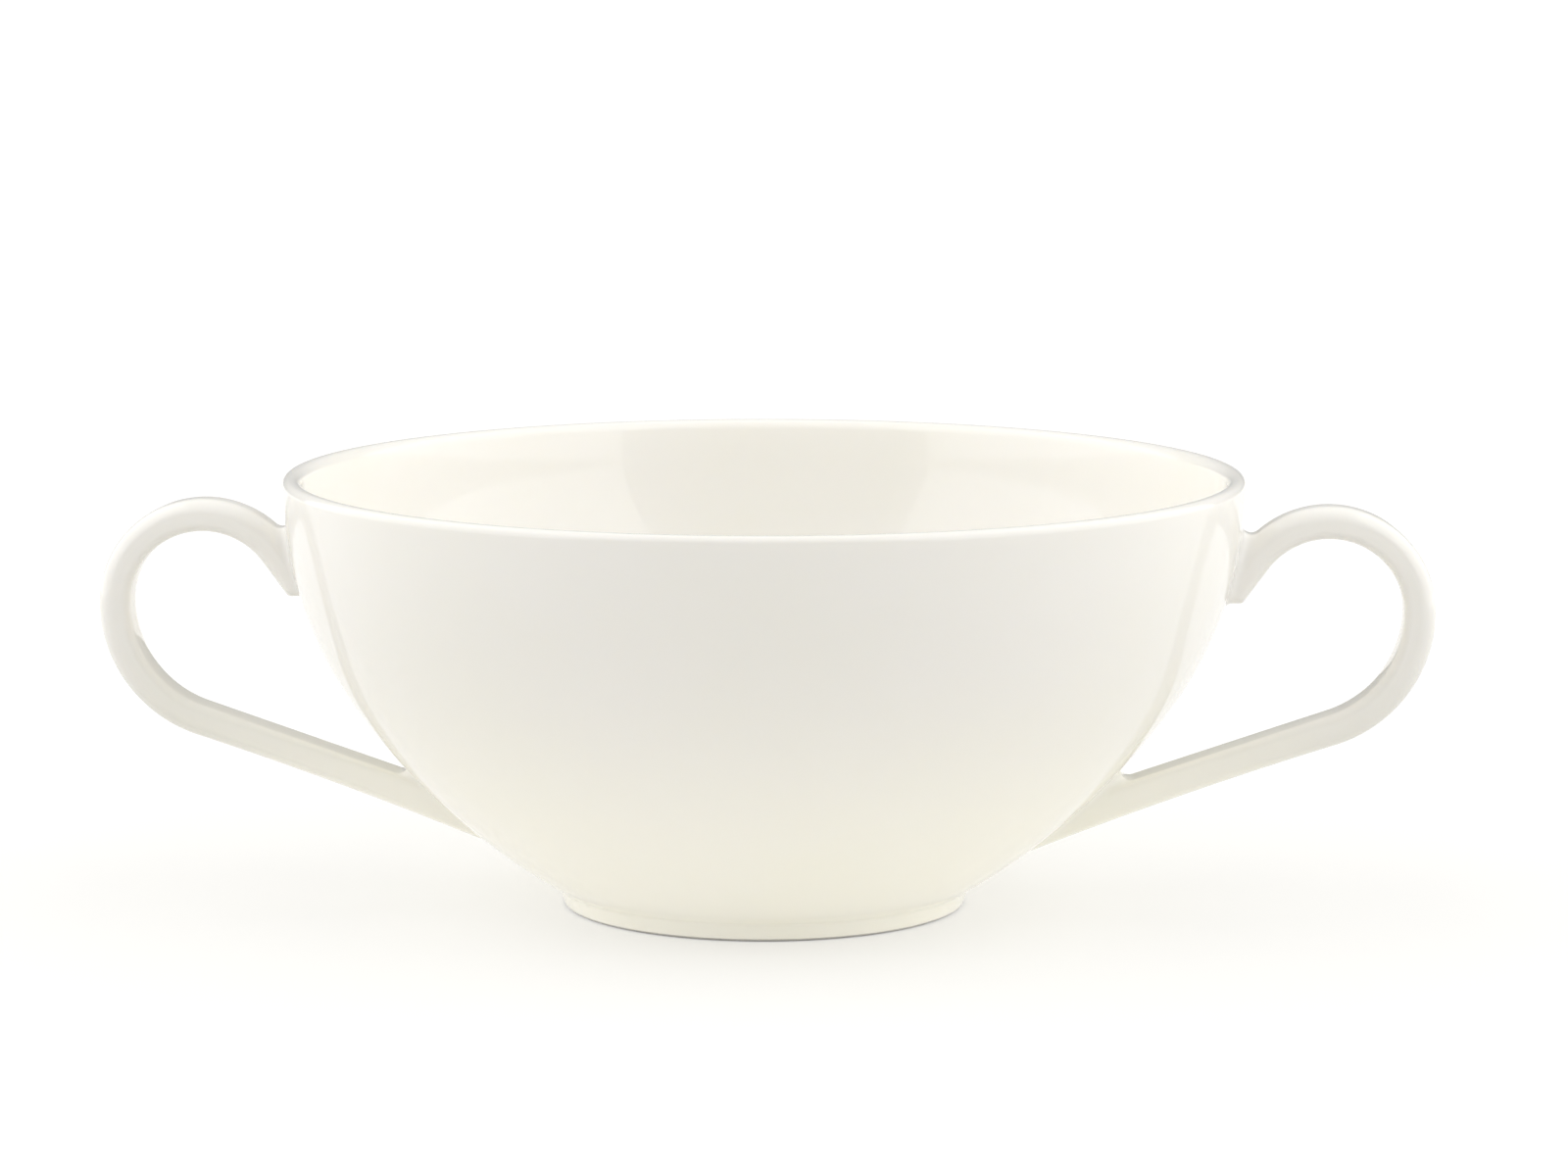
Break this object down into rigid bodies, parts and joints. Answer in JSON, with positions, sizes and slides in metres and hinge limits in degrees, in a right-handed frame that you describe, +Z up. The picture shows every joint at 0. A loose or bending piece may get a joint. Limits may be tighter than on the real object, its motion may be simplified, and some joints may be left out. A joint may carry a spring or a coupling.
{
  "type": "bouillon cup",
  "caption": "Wide low cup of plain glazed ivory china with an upright handle loop on each side and a small foot ring.",
  "frame": {"origin": "on the cup's axis, in the plane of the foot ring's underside", "axes": "+Z up along the cup's axis, +X through the right handle, +Y towards the back"},
  "size_m": [0.1784, 0.1278, 0.058],
  "materials": {
    "glazed_china": "glossy clear glaze over ivory-white bone china"
  },
  "bodies": {
    "root": {"bouillon_cup": "glazed_china"}
  },
  "joints": []
}
